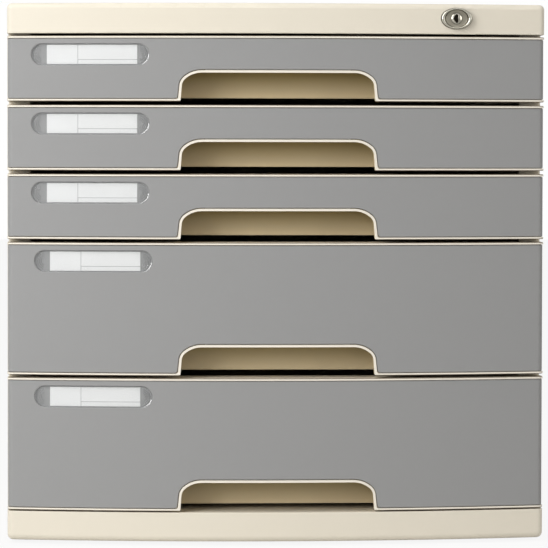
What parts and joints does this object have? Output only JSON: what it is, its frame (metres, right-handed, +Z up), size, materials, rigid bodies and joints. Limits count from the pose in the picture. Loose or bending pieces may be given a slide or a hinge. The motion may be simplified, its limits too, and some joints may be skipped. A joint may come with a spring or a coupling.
{
  "type": "desktop file drawer",
  "caption": "Desktop file cabinet with bowed-front drawers, finger notches, label windows and a key lock that blocks all drawers.",
  "frame": {"origin": "on the table under the middle of the cabinet's box", "axes": "+X to the right seen from the front, the drawers open towards -Y, +Z up"},
  "size_m": [0.3, 0.35, 0.3008],
  "materials": {
    "cream_plastic": "satin moulded plastic, fine texture",
    "grey_plastic": "satin moulded plastic, fine texture",
    "label_clear": "clear polished plastic",
    "label_card": "uncoated white card",
    "lock_chrome": "polished plate",
    "plated_steel": "zinc plated",
    "guide_plastic": "black acetal",
    "foot_rubber": "soft black rubber"
  },
  "bodies": {
    "case": {"top_panel": "cream_plastic", "left_side_panel": "cream_plastic", "right_side_panel": "cream_plastic", "rear_panel": "cream_plastic", "base_plate": "cream_plastic", "rubber_feet": "foot_rubber", "base_screws": "plated_steel", "rear_screws": "plated_steel", "lock_housing": "lock_chrome", "lock_nut": "plated_steel", "bar_guides": "guide_plastic"},
    "lock_plug": {"lock_plug": "lock_chrome", "lock_cam": "plated_steel", "cam_screw": "plated_steel"},
    "lock_bar": {"lock_bar": "plated_steel"},
    "drawer_1": {"drawer_tray_1": "cream_plastic", "drawer_front_1": "grey_plastic", "label_window_1": "label_clear", "label_card_1": "label_card"},
    "drawer_2": {"drawer_tray_2": "cream_plastic", "drawer_front_2": "grey_plastic", "label_window_2": "label_clear", "label_card_2": "label_card"},
    "drawer_3": {"drawer_tray_3": "cream_plastic", "drawer_front_3": "grey_plastic", "label_window_3": "label_clear", "label_card_3": "label_card"},
    "drawer_4": {"drawer_tray_4": "cream_plastic", "drawer_front_4": "grey_plastic", "label_window_4": "label_clear", "label_card_4": "label_card"},
    "drawer_5": {"drawer_tray_5": "cream_plastic", "drawer_front_5": "grey_plastic", "label_window_5": "label_clear", "label_card_5": "label_card"}
  },
  "joints": [
    {"name": "drawer_1_slide", "type": "slide", "parent": "case", "child": "drawer_1", "axis": [0, -1, 0], "range_m": [0, 0.23]},
    {"name": "drawer_2_slide", "type": "slide", "parent": "case", "child": "drawer_2", "axis": [0, -1, 0], "range_m": [0, 0.23]},
    {"name": "drawer_3_slide", "type": "slide", "parent": "case", "child": "drawer_3", "axis": [0, -1, 0], "range_m": [0, 0.23]},
    {"name": "drawer_4_slide", "type": "slide", "parent": "case", "child": "drawer_4", "axis": [0, -1, 0], "range_m": [0, 0.23]},
    {"name": "drawer_5_slide", "type": "slide", "parent": "case", "child": "drawer_5", "axis": [0, -1, 0], "range_m": [0, 0.23]},
    {"name": "lock_turn", "type": "hinge", "parent": "case", "child": "lock_plug", "pos_m": [0.0996, -0.1662, 0.2927], "axis": [0, 1, 0], "range_deg": [0, 90]},
    {"name": "lock_bar_slide", "type": "slide", "parent": "case", "child": "lock_bar", "axis": [0, 0, -1], "range_m": [0, 0.00566]}
  ],
  "couplings": [
    {"joint": "lock_turn", "follows": "lock_bar_slide", "rad_per_m": 277.68}
  ]
}
